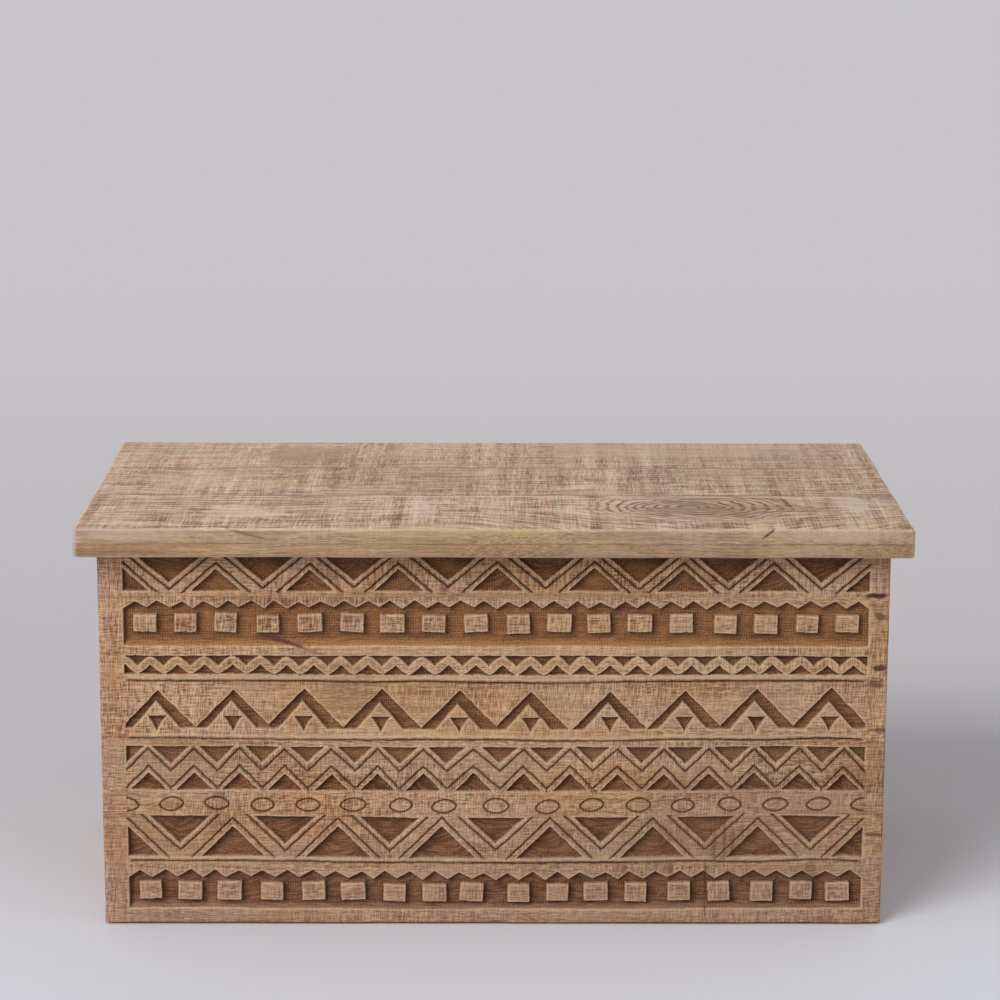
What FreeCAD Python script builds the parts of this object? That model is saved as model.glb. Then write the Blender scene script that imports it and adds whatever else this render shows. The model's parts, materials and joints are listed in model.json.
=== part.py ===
import FreeCAD
import Part
import os
from itertools import accumulate
from math import cos, hypot, pi, sin

# Storage chest whose thick hinged lid is a bench seat, with a carved front of six staves.
# Millimetres, +Z up, the front faces -Y, origin on the floor under the middle of the chest.

# Driving dimensions of the whole chest
LID_WIDTH = 890.0
LID_PLANKS = {"front": 156.0, "middle": 140.0, "rear": 142.0}
LID_THICKNESS = 32.0
LID_OVERHANG = 22.0
SEAT_HEIGHT = 450.0
GLIDE_HEIGHT = 2.5

# Lid
LID_CORNER_ROUND = 7.0
LID_TOP_ROUND = 4.0
LID_UNDER_ROUND = 1.5
SEAM_EASE = 0.8
BATTEN_WIDTH = 50.0
BATTEN_THICKNESS = 18.0
BATTEN_LENGTH = 280.0
BATTEN_BEVEL = 9.0
BATTEN_SPACING = 450.0

# Case
BOARD_THICKNESS = 20.0
FRONT_STAVES = (66.5, 82.0, 58.0, 72.0, 89.5, 47.5)
PLAIN_BOARDS = 3
POST_SIDE = 34.0
POST_BELOW_RIM = 12.0
BEARER_SIDE = 22.0
BEARER_CLEARANCE = 9.0
FLOOR_THICKNESS = 12.0
FLOOR_GAP = 1.0
GLIDE_RADIUS = 9.0
GLIDE_BEVEL = 0.6

# Hinges
HINGE_SPACING = 580.0
HINGE_LENGTH = 60.0
HINGE_KNUCKLES = 3
KNUCKLE_RADIUS = 3.5
KNUCKLE_GAP = 0.3
KNUCKLE_CLEAR = 0.4
LEAF_THICKNESS = 1.8
LEAF_REACH = 17.2
LEAF_CORNER = 2.0
PIN_RADIUS = 1.5
PIN_CLEARANCE = 0.06
PIN_HEAD_RADIUS = 2.6
PIN_HEAD_LENGTH = 1.2
HINGE_HOLE_SPREAD = 20.0
HINGE_HOLE_REACH = 11.0

# Hinge screws
SCREW_RADIUS = 1.7
SCREW_HEAD_RADIUS = 3.2
SCREW_LENGTH = 15.0
SCREW_CLEARANCE = 0.1

# Carving: heights are measured up from the lower edge of the front, and rows run from the top down;
# lower and upper triangles are half width, height and, for straps, the gap to their cut line
FIELD_WIDTH = 798.0
FIELD_SHIFT = 2.5
POCKET_DEPTH = 5.0
GROOVE_DEPTH = 2.2
GROOVE_WIDTH = 2.8
TOP_STRAP = {"base": 373.5, "top": 412.0, "repeats": 8, "lower": (27.8, 25.2, 4.9), "upper": (33.5, 28.4, 5.3)}
TOP_BLOCKS = {"base": 312.5, "tooth": 355.2, "notch": 362.6, "teeth": 32, "block_range": (328.4, 347.0)}
RIBBON = {"base": 281.6, "top": 302.4, "repeats": 27.5, "lower": (13.1, 10.6), "upper": (12.3, 12.2)}
CHEVRONS = {"foot": 223.2, "apex": 265.8, "repeats": 10, "half": 39.0, "band": 14.3}
HANGING_TRIANGLES = {"top": 235.7, "repeats": 10, "half": 9.4, "height": 15.5}
ZIGZAG_TRIANGLES = {"base": 152.6, "top": 201.3, "repeats": 16, "half": 19.4, "height": 19.2}
ZIGZAG_LINES = {"repeats": 16, "lines": ((154.4, 178.2), (173.0, 198.6))}
OVALS = {"up": 135.6, "repeats": 16, "half_width": 14.1, "half_height": 8.8}
LOWER_STRAP = {"base": 76.0, "top": 122.7, "repeats": 7, "lower": (35.8, 36.0, 6.4), "upper": (32.3, 30.8, 5.3)}
LOWER_BLOCKS = {"base": 16.4, "tooth": 52.3, "notch": 60.8, "teeth": 30, "block_range": (26.5, 46.8)}
OVAL_CUTS = 12
BLOCKS_IN_ROW = 18
BLOCK_WIDTH = 24.2
SCRIBED_LINES = (70.8, 210.8, 274.3)

# Working values of the cuts
OVERCUT = 1.0
TOLERANCE = 0.001

LID_DEPTH = sum(LID_PLANKS.values())
CASE_WIDTH = LID_WIDTH - 2 * LID_OVERHANG
CASE_DEPTH = LID_DEPTH - 2 * LID_OVERHANG
CASE_BOTTOM = GLIDE_HEIGHT
RIM = SEAT_HEIGHT - LID_THICKNESS
HALF_WIDTH = CASE_WIDTH / 2
HALF_DEPTH = CASE_DEPTH / 2
INNER_X = HALF_WIDTH - BOARD_THICKNESS
INNER_Y = HALF_DEPTH - BOARD_THICKNESS
FIELD_LEFT = FIELD_SHIFT - FIELD_WIDTH / 2
FIELD_RIGHT = FIELD_SHIFT + FIELD_WIDTH / 2
BATTEN_X = BATTEN_SPACING / 2
HINGE_X = HINGE_SPACING / 2
HINGE_OFFSET = KNUCKLE_RADIUS + KNUCKLE_CLEAR
AXIS_Y = HALF_DEPTH + HINGE_OFFSET
AXIS_Z = RIM - HINGE_OFFSET
NOTCH_RADIUS = KNUCKLE_RADIUS + 2 * KNUCKLE_CLEAR
FLOOR_UNDERSIDE = CASE_BOTTOM + BEARER_CLEARANCE + BEARER_SIDE

X = FreeCAD.Vector(1, 0, 0)
Y = FreeCAD.Vector(0, 1, 0)
Z = FreeCAD.Vector(0, 0, 1)


def block(x, y, z):
    """A square-edged block from three (low, high) ranges."""
    corner = FreeCAD.Vector(x[0], y[0], z[0])
    return Part.makeBox(x[1] - x[0], y[1] - y[0], z[1] - z[0], corner)


def rod(x, y, z, length, radius):
    """A round bar along +X that starts at the given point."""
    return Part.makeCylinder(radius, length, FreeCAD.Vector(x, y, z), X)


def mirrored(low, high, side):
    """A range on the +X or +Y side of the chest, or its mirror image."""
    return (low, high) if side > 0 else (-high, -low)


def equal_ranges(low, high, count):
    """A length cut into equal ranges."""
    step = (high - low) / count
    return [(low + i * step, low + (i + 1) * step) for i in range(count)]


def edges_along(shape, axis):
    """The straight edges of a shape that run along one axis."""
    straight = [edge for edge in shape.Edges if edge.Curve.TypeId == "Part::GeomLine"]
    return [edge for edge in straight if edge.tangentAt(edge.FirstParameter).cross(axis).Length < TOLERANCE]


def edges_at_height(shape, height):
    """The edges of a shape that lie in one horizontal plane."""
    level = [edge for edge in shape.Edges if edge.BoundBox.ZLength < TOLERANCE]
    return [edge for edge in level if abs(edge.BoundBox.ZMin - height) < TOLERANCE]


def save(name, shape):
    """One file for each piece, or for each group of equal pieces."""
    shape.exportStep(os.path.join("parts", name + ".step"))


# Hinge screws
def turned(outline, place, direction):
    """A round body turned from (radius, height) points, set at place with its lower end along direction."""
    points = [FreeCAD.Vector(radius, 0, height) for radius, height in outline]
    body = Part.Face(Part.makePolygon(points + points[:1])).revolve(FreeCAD.Vector(), Z, 360)
    body.Placement = FreeCAD.Placement(place, FreeCAD.Rotation(-Z, direction))
    return body


def screw(place, direction):
    """A countersunk screw driven from place along direction, its head flush."""
    neck = SCREW_RADIUS - SCREW_HEAD_RADIUS
    cone = [(0, 0), (SCREW_HEAD_RADIUS, 0), (SCREW_RADIUS, neck)]
    return turned(cone + [(SCREW_RADIUS, -SCREW_LENGTH), (0, -SCREW_LENGTH)], place, direction)


def screw_hole(place, direction):
    """The countersunk hole that a screw sits in."""
    shank = SCREW_RADIUS + SCREW_CLEARANCE
    head = SCREW_HEAD_RADIUS + SCREW_CLEARANCE
    depth = SCREW_LENGTH + SCREW_CLEARANCE
    cone = [(0, OVERCUT), (head, OVERCUT), (head, 0), (shank, shank - head)]
    return turned(cone + [(shank, -depth), (0, -depth)], place, direction)


def screws(drives):
    """A group of equal screws as one node."""
    return Part.makeCompound([screw(place, direction) for place, direction in drives])


def drilled(shape, drives):
    """A piece with the holes of the screws that go into it."""
    return shape.cut([screw_hole(place, direction) for place, direction in drives])


# Carving
def pocket(points, depth=POCKET_DEPTH):
    """A sunk shape whose outline is a list of (across, up) points on the front."""
    front = -HALF_DEPTH - OVERCUT
    corners = [FreeCAD.Vector(across, front, CASE_BOTTOM + up) for across, up in points]
    return Part.Face(Part.makePolygon(corners + corners[:1])).extrude(Y * (depth + OVERCUT))


def groove(points):
    """A cut line of one slope along (across, up) points, as wide as the gouge."""
    run = points[1][0] - points[0][0]
    rise = points[1][1] - points[0][1]
    half = GROOVE_WIDTH / 2 * hypot(run, rise) / abs(run)
    upper = [(across, up + half) for across, up in points]
    lower = [(across, up - half) for across, up in reversed(points)]
    return pocket(upper + lower, GROOVE_DEPTH)


def triangle(middle, base, half, height):
    """A sunk triangle on a base line, cut off square at the ends of the field; height may point down."""
    left = max(FIELD_LEFT, middle - half)
    right = min(FIELD_RIGHT, middle + half)
    return pocket([(left, base), (right, base), (middle, base + height)])


def cut_angle(middle, base, half, height):
    """A cut line up to an apex and down again, or half of it at an end of the field."""
    line = [(middle - half, base), (middle, base + height), (middle + half, base)]
    return groove([point for point in line if FIELD_LEFT - TOLERANCE < point[0] < FIELD_RIGHT + TOLERANCE])


def pitch_points(count, shift):
    """The places of a repeat along the field, at its ends (shift 0) or between them (shift 0.5)."""
    pitch = FIELD_WIDTH / count
    places = [FIELD_LEFT + (i + shift) * pitch for i in range(int(count) + 1)]
    return [place for place in places if place < FIELD_RIGHT + TOLERANCE]


def strap_row(base, top, repeats, lower, upper):
    """A raised zigzag strap between sunk triangles, with a cut line along each of its sides."""
    cutters = []
    for line, way, shift, sizes in ((base, 1, 0.0, lower), (top, -1, 0.5, upper)):
        half, height, line_gap = sizes
        slant = hypot(half, height)
        line_half = half + line_gap * slant / height
        line_height = height + line_gap * slant / half
        for middle in pitch_points(repeats, shift):
            cutters.append(triangle(middle, line, half, way * height))
            cutters.append(cut_angle(middle, line, line_half, way * line_height))
    return cutters


def block_row(base, tooth, notch, teeth, block_range):
    """A sunk band with a saw-tooth upper edge and a row of square blocks left standing in it."""
    pitch = FIELD_WIDTH / teeth
    outline = [(FIELD_LEFT, base), (FIELD_RIGHT, base), (FIELD_RIGHT, tooth)]
    for middle in reversed(pitch_points(teeth, 0.5)):
        outline.append((middle, notch))
        outline.append((middle - pitch / 2, tooth))
    low, high = block_range
    standing = []
    for middle in pitch_points(BLOCKS_IN_ROW, 0.5):
        left = middle - BLOCK_WIDTH / 2
        right = middle + BLOCK_WIDTH / 2
        corners = [(left, low), (right, low), (right, high), (left, high)]
        standing.append(pocket(corners, POCKET_DEPTH + OVERCUT))
    return [pocket(outline).cut(standing)]


def ribbon_row(base, top, repeats, lower, upper):
    """A raised ribbon that winds between small triangles sunk above and below it."""
    half, height = lower
    below = [triangle(middle, base, half, height) for middle in pitch_points(repeats, 0.0)]
    half, height = upper
    above = [triangle(middle, top, half, -height) for middle in pitch_points(repeats, 0.5)]
    return below + above


def chevron_row(foot, apex, repeats, half, band):
    """Sunk chevrons side by side."""
    inner_half = half * (1 - band / (apex - foot))
    chevrons = []
    for middle in pitch_points(repeats, 0.5):
        outer = [(middle - half, foot), (middle, apex), (middle + half, foot)]
        inner = [(middle + inner_half, foot), (middle, apex - band), (middle - inner_half, foot)]
        chevrons.append(pocket(outer + inner))
    return chevrons


def hanging_row(top, repeats, half, height):
    """Small sunk triangles that hang between the legs of the chevrons."""
    return [triangle(middle, top, half, -height) for middle in pitch_points(repeats, 0.5)]


def edge_triangles(base, top, repeats, half, height):
    """Sunk triangles along both edges of a band, point to gap."""
    above = [triangle(middle, top, half, -height) for middle in pitch_points(repeats, 0.0)]
    below = [triangle(middle, base, half, height) for middle in pitch_points(repeats, 0.5)]
    return above + below


def zigzag_lines(repeats, lines):
    """Cut zigzags from end to end of the field, each between a valley and a peak height."""
    cuts = []
    for valley, peak in lines:
        low = [(across, valley) for across in pitch_points(repeats, 0.0)]
        high = [(across, peak) for across in pitch_points(repeats, 0.5)]
        cuts.append(groove(sorted(low + high)))
    return cuts


def oval(across, up, half_width, half_height):
    """An oval prism on the front, as deep as a groove, its outline a run of straight gouge cuts."""
    turns = [2 * pi * i / OVAL_CUTS for i in range(OVAL_CUTS)]
    points = [(across + half_width * cos(turn), up + half_height * sin(turn)) for turn in turns]
    return pocket(points, GROOVE_DEPTH)


def oval_row(up, repeats, half_width, half_height):
    """Cut ovals at an even pitch, with half an oval at each end of the field."""
    rings = []
    for across in pitch_points(repeats, 0.0):
        inner = oval(across, up, half_width - GROOVE_WIDTH, half_height - GROOVE_WIDTH)
        rings.append(oval(across, up, half_width, half_height).cut(inner))
    field = block((FIELD_LEFT, FIELD_RIGHT), (-LID_DEPTH, 0), (0, SEAT_HEIGHT))
    return [ring.common(field) for ring in rings]


def scribed_line(up):
    """A plain cut line across the field."""
    return groove([(FIELD_LEFT, up), (FIELD_RIGHT, up)])


def carving():
    """Every cut of the front, from the top row down."""
    cuts = strap_row(**TOP_STRAP) + block_row(**TOP_BLOCKS) + ribbon_row(**RIBBON)
    cuts += chevron_row(**CHEVRONS) + hanging_row(**HANGING_TRIANGLES)
    cuts += edge_triangles(**ZIGZAG_TRIANGLES) + zigzag_lines(**ZIGZAG_LINES)
    cuts += oval_row(**OVALS) + strap_row(**LOWER_STRAP) + block_row(**LOWER_BLOCKS)
    return cuts + [scribed_line(up) for up in SCRIBED_LINES]


# Case
def front_staves():
    """The carved front: staves that run the whole width, each with the cuts that fall on it."""
    cutters = carving()
    heights = [CASE_BOTTOM + up for up in accumulate(FRONT_STAVES, initial=0.0)]
    staves = []
    for low, high in zip(heights, heights[1:]):
        stave = block((-HALF_WIDTH, HALF_WIDTH), (-HALF_DEPTH, -INNER_Y), (low, high))
        hits = [cutter for cutter in cutters if cutter.BoundBox.intersect(stave.BoundBox)]
        staves.append(stave.cut(hits))
    return staves


def plain_wall(x, y):
    """Plain horizontal boards, one above another, that fill a wall."""
    return [block(x, y, z) for z in equal_ranges(CASE_BOTTOM, RIM, PLAIN_BOARDS)]


def corner_post(across, along):
    """A square post in one inner corner; across and along give the corner's signs."""
    x = mirrored(INNER_X - POST_SIDE, INNER_X, across)
    y = mirrored(INNER_Y - POST_SIDE, INNER_Y, along)
    return block(x, y, (CASE_BOTTOM, RIM - POST_BELOW_RIM))


def floor_boards():
    """Three loose boards on the bearers, the outer two notched round the posts."""
    reach_x = INNER_X - FLOOR_GAP
    reach_y = INNER_Y - FLOOR_GAP
    notch_x = INNER_X - POST_SIDE - FLOOR_GAP
    notch_y = INNER_Y - POST_SIDE - FLOOR_GAP
    height = (FLOOR_UNDERSIDE, FLOOR_UNDERSIDE + FLOOR_THICKNESS)
    notches = []
    for across in (-1, 1):
        for along in (-1, 1):
            x = mirrored(notch_x, INNER_X, across)
            y = mirrored(notch_y, INNER_Y, along)
            notches.append(block(x, y, height))
    ranges = equal_ranges(-reach_y, reach_y, PLAIN_BOARDS)
    gap = FLOOR_GAP / 2
    boards = [block((-reach_x, reach_x), (low + gap, high - gap), height) for low, high in ranges]
    return [board.cut(notches) for board in boards]


def floor_bearers():
    """Four strips fixed round the inside between the posts, which carry the floor."""
    height = (FLOOR_UNDERSIDE - BEARER_SIDE, FLOOR_UNDERSIDE)
    long_run = (-INNER_X + POST_SIDE, INNER_X - POST_SIDE)
    short_run = (-INNER_Y + POST_SIDE, INNER_Y - POST_SIDE)
    bearers = {}
    for name, side in (("front", -1), ("back", 1)):
        bearers[name] = block(long_run, mirrored(INNER_Y - BEARER_SIDE, INNER_Y, side), height)
    for name, side in (("left", -1), ("right", 1)):
        bearers[name] = block(mirrored(INNER_X - BEARER_SIDE, INNER_X, side), short_run, height)
    return bearers


def glides():
    """Four thin round glides under the posts."""
    middle_x = INNER_X - POST_SIDE / 2
    middle_y = INNER_Y - POST_SIDE / 2
    discs = []
    for x in (-middle_x, middle_x):
        for y in (-middle_y, middle_y):
            disc = Part.makeCylinder(GLIDE_RADIUS, GLIDE_HEIGHT, FreeCAD.Vector(x, y, 0))
            discs.append(disc.makeChamfer(GLIDE_BEVEL, edges_at_height(disc, 0.0)))
    return Part.makeCompound(discs)


# Lid
def lid_boards():
    """A thick slab with worn edges, sawn into three planks whose meeting edges are eased."""
    half_x = LID_WIDTH / 2
    half_y = LID_DEPTH / 2
    slab = block((-half_x, half_x), (-half_y, half_y), (RIM, SEAT_HEIGHT))
    slab = slab.makeFillet(LID_CORNER_ROUND, edges_along(slab, Z))
    slab = slab.makeFillet(LID_TOP_ROUND, edges_at_height(slab, SEAT_HEIGHT))
    slab = slab.makeFillet(LID_UNDER_ROUND, edges_at_height(slab, RIM))
    edges = list(accumulate(LID_PLANKS.values(), initial=-half_y))
    seams = []
    for seam in edges[1:-1]:
        corners = [(seam - 2 * SEAM_EASE, SEAM_EASE), (seam + 2 * SEAM_EASE, SEAM_EASE), (seam, -SEAM_EASE)]
        points = [FreeCAD.Vector(-half_x, y, SEAT_HEIGHT + z) for y, z in corners]
        seams.append(Part.Face(Part.makePolygon(points + points[:1])).extrude(X * LID_WIDTH))
    slab = slab.cut(seams)
    ranges = zip(edges, edges[1:])
    return [slab.common(block((-half_x, half_x), y, (RIM, SEAT_HEIGHT))) for y in ranges]


def lid_batten(middle):
    """A strip across the underside that holds the planks together, bevelled at its lower ends."""
    x = (middle - BATTEN_WIDTH / 2, middle + BATTEN_WIDTH / 2)
    y = (-BATTEN_LENGTH / 2, BATTEN_LENGTH / 2)
    strip = block(x, y, (RIM - BATTEN_THICKNESS, RIM))
    lower = edges_at_height(strip, RIM - BATTEN_THICKNESS)
    ends = [edge for edge in lower if edge.BoundBox.YLength < TOLERANCE]
    return strip.makeChamfer(BATTEN_BEVEL, ends)


# Hinges
def hinge_drives(middle, lid_side):
    """The two screws of one leaf."""
    drives = []
    for x in (middle - HINGE_HOLE_SPREAD, middle + HINGE_HOLE_SPREAD):
        if lid_side:
            drives.append((FreeCAD.Vector(x, AXIS_Y + HINGE_HOLE_REACH, RIM - LEAF_THICKNESS), Z))
        else:
            face = HALF_DEPTH + LEAF_THICKNESS
            drives.append((FreeCAD.Vector(x, face, AXIS_Z - HINGE_HOLE_REACH), -Y))
    return drives


def hinge_leaf(middle, lid_side):
    """A flat leaf with its share of the rolled knuckles, notched for those of the other leaf."""
    start = middle - HINGE_LENGTH / 2
    x = (start, start + HINGE_LENGTH)
    if lid_side:
        plate = block(x, (AXIS_Y, AXIS_Y + LEAF_REACH), (RIM - LEAF_THICKNESS, RIM))
        corners = [edge for edge in edges_along(plate, Z) if edge.BoundBox.YMin > AXIS_Y + TOLERANCE]
    else:
        plate = block(x, (HALF_DEPTH, HALF_DEPTH + LEAF_THICKNESS), (AXIS_Z - LEAF_REACH, AXIS_Z))
        corners = [edge for edge in edges_along(plate, Y) if edge.BoundBox.ZMax < AXIS_Z - TOLERANCE]
    leaf = plate.makeFillet(LEAF_CORNER, corners)
    knuckles = equal_ranges(*x, HINGE_KNUCKLES)
    own = [(low, high) for i, (low, high) in enumerate(knuckles) if i % 2 == lid_side]
    other = [(low, high) for i, (low, high) in enumerate(knuckles) if i % 2 != lid_side]
    leaf = leaf.cut([rod(low, AXIS_Y, AXIS_Z, high - low, NOTCH_RADIUS) for low, high in other])
    length = HINGE_LENGTH / HINGE_KNUCKLES - KNUCKLE_GAP
    rolls = [rod(low + KNUCKLE_GAP / 2, AXIS_Y, AXIS_Z, length, KNUCKLE_RADIUS) for low, high in own]
    leaf = leaf.fuse(rolls)
    leaf = leaf.cut(rod(start, AXIS_Y, AXIS_Z, HINGE_LENGTH, PIN_RADIUS + PIN_CLEARANCE))
    return drilled(leaf, hinge_drives(middle, lid_side))


def hinge_pin(middle):
    """A loose pin through all the knuckles, with a button head at each end."""
    reach = HINGE_LENGTH / 2 + KNUCKLE_GAP
    pin = rod(middle - reach, AXIS_Y, AXIS_Z, 2 * reach, PIN_RADIUS)
    left = rod(middle - reach - PIN_HEAD_LENGTH, AXIS_Y, AXIS_Z, PIN_HEAD_LENGTH, PIN_HEAD_RADIUS)
    right = rod(middle + reach, AXIS_Y, AXIS_Z, PIN_HEAD_LENGTH, PIN_HEAD_RADIUS)
    return pin.fuse([left, right]).removeSplitter()


def both_hinges(lid_side):
    """The screws of both hinges on one side."""
    return hinge_drives(-HINGE_X, lid_side) + hinge_drives(HINGE_X, lid_side)


def save_case():
    """The case: walls, posts, floor and glides."""
    for number, stave in enumerate(front_staves(), 1):
        save(f"front_stave_{number}", stave)
    back = plain_wall((-HALF_WIDTH, HALF_WIDTH), (INNER_Y, HALF_DEPTH))
    back[-1] = drilled(back[-1], both_hinges(False))
    for number, board in enumerate(back, 1):
        save(f"back_board_{number}", board)
    for name, side in (("left", -1), ("right", 1)):
        wall = plain_wall(mirrored(INNER_X, HALF_WIDTH, side), (-INNER_Y, INNER_Y))
        for number, board in enumerate(wall, 1):
            save(f"{name}_side_board_{number}", board)
        for end, along in (("front", -1), ("back", 1)):
            save(f"corner_post_{end}_{name}", corner_post(side, along))
    for number, board in enumerate(floor_boards(), 1):
        save(f"floor_board_{number}", board)
    for name, bearer in floor_bearers().items():
        save(f"floor_bearer_{name}", bearer)
    save("floor_glides", glides())


def save_lid():
    """The lid: planks and battens."""
    boards = lid_boards()
    boards[-1] = drilled(boards[-1], both_hinges(True))
    for name, board in zip(LID_PLANKS, boards):
        save(f"lid_board_{name}", board)
    for name, side in (("left", -1), ("right", 1)):
        save(f"lid_batten_{name}", lid_batten(side * BATTEN_X))


def save_hinges():
    """Two butt hinges under the rear overhang of the lid."""
    for name, middle in (("left", -HINGE_X), ("right", HINGE_X)):
        save(f"hinge_case_leaf_{name}", hinge_leaf(middle, False))
        save(f"hinge_lid_leaf_{name}", hinge_leaf(middle, True))
        save(f"hinge_pin_{name}", hinge_pin(middle))
    save("hinge_screws_case", screws(both_hinges(False)))
    save("hinge_screws_lid", screws(both_hinges(True)))


os.makedirs("parts", exist_ok=True)
save_case()
save_lid()
save_hinges()
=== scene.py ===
import json
from math import radians
import bpy
import numpy as np
from mathutils import Matrix, Vector


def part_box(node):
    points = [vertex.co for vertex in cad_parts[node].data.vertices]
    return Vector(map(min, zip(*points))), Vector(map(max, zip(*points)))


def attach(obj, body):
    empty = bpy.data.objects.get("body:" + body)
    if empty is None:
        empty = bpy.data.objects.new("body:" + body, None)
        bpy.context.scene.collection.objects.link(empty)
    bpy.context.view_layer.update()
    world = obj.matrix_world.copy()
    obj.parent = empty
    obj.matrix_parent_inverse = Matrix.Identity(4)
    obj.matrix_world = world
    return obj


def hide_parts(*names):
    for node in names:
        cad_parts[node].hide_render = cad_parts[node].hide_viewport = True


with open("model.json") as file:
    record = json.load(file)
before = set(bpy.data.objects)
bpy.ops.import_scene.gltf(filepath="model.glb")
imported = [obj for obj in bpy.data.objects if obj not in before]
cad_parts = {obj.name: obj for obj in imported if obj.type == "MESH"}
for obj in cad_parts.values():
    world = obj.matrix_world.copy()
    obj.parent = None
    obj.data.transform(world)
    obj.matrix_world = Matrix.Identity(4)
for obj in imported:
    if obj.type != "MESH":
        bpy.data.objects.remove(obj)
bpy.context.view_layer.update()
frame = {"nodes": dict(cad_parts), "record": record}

# Storage chest with a carved front and a plank lid, worked out in millimetres and set down in metres
MM = 0.001
LATTICE = 512

STAVE_NODES = [f"front_stave_{number}" for number in range(1, 7)]
STAVE_BOXES = np.round([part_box(node) for node in STAVE_NODES], 5) / MM
LID_FRONT = round(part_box("lid_board_front")[0][1] / MM, 2)
LID_UNDER, SEAT = (round(corner[2] / MM, 2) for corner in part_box("lid_board_front"))
LID_SEAMS = [round(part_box(f"lid_board_{name}")[1][1] / MM, 2) for name in ("front", "middle")]

# Carved front: u is the height above the lower edge of the case
HALF_WIDTH, FRONT_BACK_Y = STAVE_BOXES[0, 1, :2]
FRONT_Y, CASE_BOTTOM = STAVE_BOXES[0, 0, 1:]
SEAMS = np.append(STAVE_BOXES[:, 0, 2], STAVE_BOXES[-1, 1, 2]) - CASE_BOTTOM
FIELD_LEFT = -396.5
FIELD_RIGHT = 401.5
GRID = 0.9
POCKET_DEPTH = 5.8
WALL = 1.0
LEDGE = 7.0
GROOVE_DEPTH = 2.3
GROOVE_HALF = 1.55
FAR = 1000.0

# Rows of carving: triangles are half width, height and, for straps, the way to their cut line
TOP_STRAP = {"repeats": 8, "base": 373.5, "top": 412.0,
             "lower": (27.8, 25.2, 4.9), "upper": (33.5, 28.4, 5.3),
             "drift": (0, 0.5, -4.5, 1, 5, 0.5, -3)}
LOWER_STRAP = {"repeats": 7, "base": 76.0, "top": 122.7,
               "lower": (35.8, 36.0, 6.4), "upper": (32.3, 30.8, 5.3),
               "drift": (0, 0, -1.5, 2, -0.5, -0.5)}
TOP_BLOCKS = {"seed": 21, "base": 312.5, "tooth": 355.2, "notch": 362.6, "teeth": 32,
              "low": 328.4, "high": 347.0,
              "drift": (1, 0, -1.5, -0.5, 0, 1, -0.5, -0.5, 0.5, 1.5, 1, -1, -1.5, -1.5, 1.5, 0.5, 0.5, -1)}
LOWER_BLOCKS = {"seed": 22, "base": 16.4, "tooth": 52.3, "notch": 60.8, "teeth": 30,
                "low": 26.5, "high": 46.8,
                "drift": (1.5, 0, -1.5, 0.5, 1.5, 0, 1, 0, -4, 3, 1, -1.5, -2.5, 0.5, -0.5, 2, 0.5, -4)}
BLOCKS = 18
BLOCK_HALF = 12.1
BLOCK_STRAY = {"rise": 0.9, "turn": 0.05, "wide": 0.8, "tall": 0.7}
TOOTH_STRAY = {"along": 1.5, "rise": 1.2}
RIBBON = {"base": 281.4, "top": 302.4, "pitch": 29.02, "over": (301.1, 290.4),
          "under": (292.6, 282.7), "round": 0.4}
CHEVRONS = {"repeats": 10, "foot": 220.9, "outer": (42.6, 44.4), "inner": (25.2, 29.8),
            "lean": -2.0, "drift": (-4, -3, -6.5, -3, 1, -2.5, 3, 4, 1.5, 1.5)}
HANGING = {"top": 235.2, "half": 10.6, "drop": 18.9, "shift": -1.0, "seed": 32, "stray": 1.2,
           "steep": 0.85, "taper": 1.3}
ZIGZAG = {"repeats": 16, "base": 151.6, "top": 201.3, "half": 19.8, "height": 19.4,
          "lines": ((154.0, 178.9), (173.3, 198.4)),
          "drift": (-1.5, -1.5, -3, -4, -2, -4, -3, 4.5, 5.5, 5, 8.5, 5.5, 5.5, 4, 4)}
OVALS = {"repeats": 16, "up": 135.6, "wide": 12.9, "tall": 7.5, "power": 1.75, "thin": 1.1,
         "seed": 34, "stray": {"tilt": 0.09, "rise": 1.0, "wide": 0.9, "tall": 0.6},
         "drift": (-1.5, -2.5, -3, -3.5, -4.5, -3, -6, 0.5, 6.5, 4.5, 5, 3.5, 4.5, 4, 1)}
SCRIBED = {"up": (70.8, 208.8, 273.8), "seed": 41, "depth": 2.6, "below": 1.1, "above": 1.3, "ends": 6.0,
           "lip": 4.2, "lip_half": 1.6}
SAG_HEIGHTS = (0.0, 40.0, 130.0, 170.0, 210.0, 270.0, 310.0)
SAG = (0.0, 3.2, 3.2, 1.0, 2.0, 2.2, 0.0)
SAG_WIDTH = 190.0
SIZE_STRAY = 0.04
SIZE_TURN = 7.3
OVAL_CORE = 1e-6

# Wear and stain of the cuts, and the painted shade on their floors under the upper and left walls
FLOOR_ROUGH = 0.6
LEDGE_START = 0.2
WORN_REACH = 1.2
WORN_DEPTH = 0.25
FACE_SINK = 0.15
ARRIS = 2.4
ARRIS_FOOT = 0.6
RIM_PLACE = 0.6
RIM_HALF = 0.9
CUT_POWER = 0.6
SCRATCH_START = 0.4
SCRATCH_FULL = 1.2
CORNER_SHADE = {"level": 0.25, "up": 0.35, "right": -0.65, "reach": 5.0}
LEAST_SLOPE = 0.25

# Uneven lines and surfaces: seed, step and size in millimetres
EDGE_NICKS = (13, 6.0, 0.5)
ROW_WAVES = (11, 45.0, 0.6)
ROW_NICKS = (12, 6.0, 0.4)
CHEVRON_NICKS = (14, 7.0, 0.45)
RIBBON_DRIFT = (31, 30.0, 1.3)
RIBBON_NICKS = (35, 4.0, 0.5)
FLOOR_FINE = (51, 3.1, 0.4)
FLOOR_BROAD = (52, 19.0, 0.4)
FACE_SWELL = (53, 26.0, 0.15)
SIDE_WEAR = (54, 14.0, 0.5)
FOOT_WEAR = (55, 30.0, 0.5)

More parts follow.
